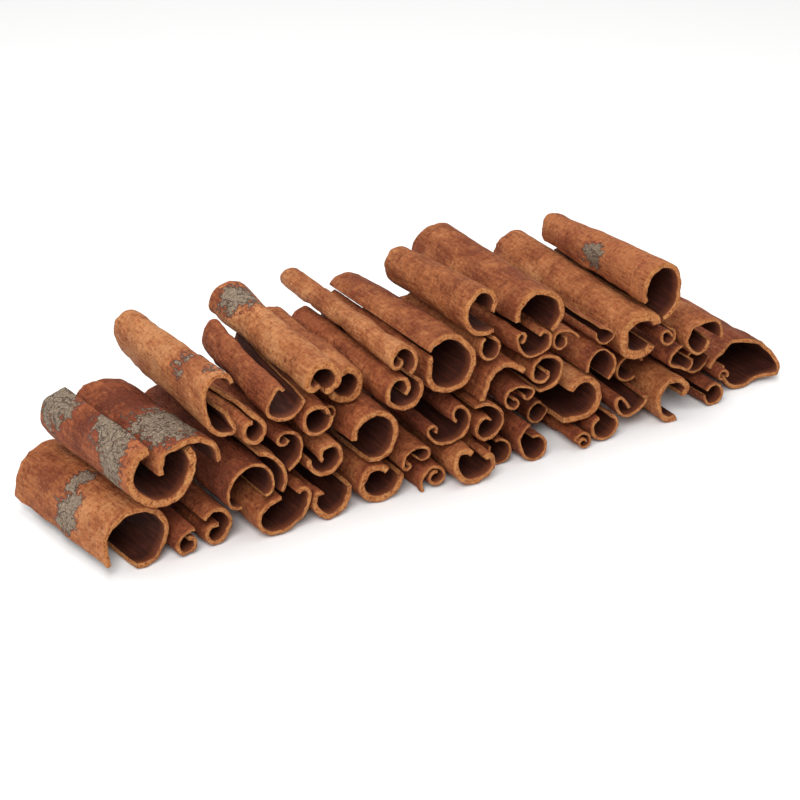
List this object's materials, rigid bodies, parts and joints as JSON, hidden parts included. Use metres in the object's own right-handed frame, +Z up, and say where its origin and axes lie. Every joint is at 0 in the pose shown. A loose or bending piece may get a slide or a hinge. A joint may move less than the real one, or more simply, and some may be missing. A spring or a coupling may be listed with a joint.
{
  "type": "cinnamon stick stack",
  "caption": "Low heap of curled cassia cinnamon quills lying side by side and nested, with their open scrolled ends towards one long side.",
  "frame": {"origin": "middle of the heap's footprint, on the surface it lies on", "axes": "+X along the heap's length, left to right as seen facing the open ends; +Y along the quills, away from the even row of open ends; +Z up"},
  "size_m": [0.3246, 0.111, 0.0782],
  "materials": {
    "tan_bark": "matte, light tan to orange brown bark with paler cut ends",
    "brown_bark": "matte, reddish brown bark with grey cork patches",
    "russet_bark": "matte, dark russet bark"
  },
  "bodies": {
    "root": {"base_01": "tan_bark", "base_02": "russet_bark", "base_03": "brown_bark", "base_04": "brown_bark", "base_05": "brown_bark", "base_06": "brown_bark", "base_07": "russet_bark", "base_08": "tan_bark", "base_09": "russet_bark", "base_10": "russet_bark", "base_11": "brown_bark", "base_12": "russet_bark", "base_14": "tan_bark", "base_13": "russet_bark", "base_15": "russet_bark", "side_01": "russet_bark", "base_16": "brown_bark", "mid_17": "russet_bark", "mid_16": "russet_bark", "mid_27": "tan_bark", "mid_28": "russet_bark", "mid_01": "brown_bark", "mid_03": "russet_bark", "mid_04": "tan_bark", "mid_02": "brown_bark", "mid_13": "russet_bark", "mid_05": "brown_bark", "mid_07": "brown_bark", "mid_06": "brown_bark", "mid_08": "russet_bark", "mid_09": "brown_bark", "mid_10": "russet_bark", "mid_11": "tan_bark", "mid_29": "russet_bark", "mid_12": "brown_bark", "mid_14": "brown_bark", "mid_15": "brown_bark", "mid_18": "brown_bark", "mid_19": "brown_bark", "mid_20": "brown_bark", "mid_21": "brown_bark", "mid_22": "tan_bark", "mid_30": "russet_bark", "mid_23": "brown_bark", "mid_24": "brown_bark", "mid_25": "brown_bark", "top_01": "tan_bark", "top_02": "tan_bark", "top_03": "tan_bark", "top_04": "tan_bark", "top_05": "tan_bark", "top_06": "tan_bark", "top_07": "brown_bark", "top_08": "tan_bark", "mid_26": "russet_bark", "top_09": "brown_bark"}
  },
  "joints": []
}
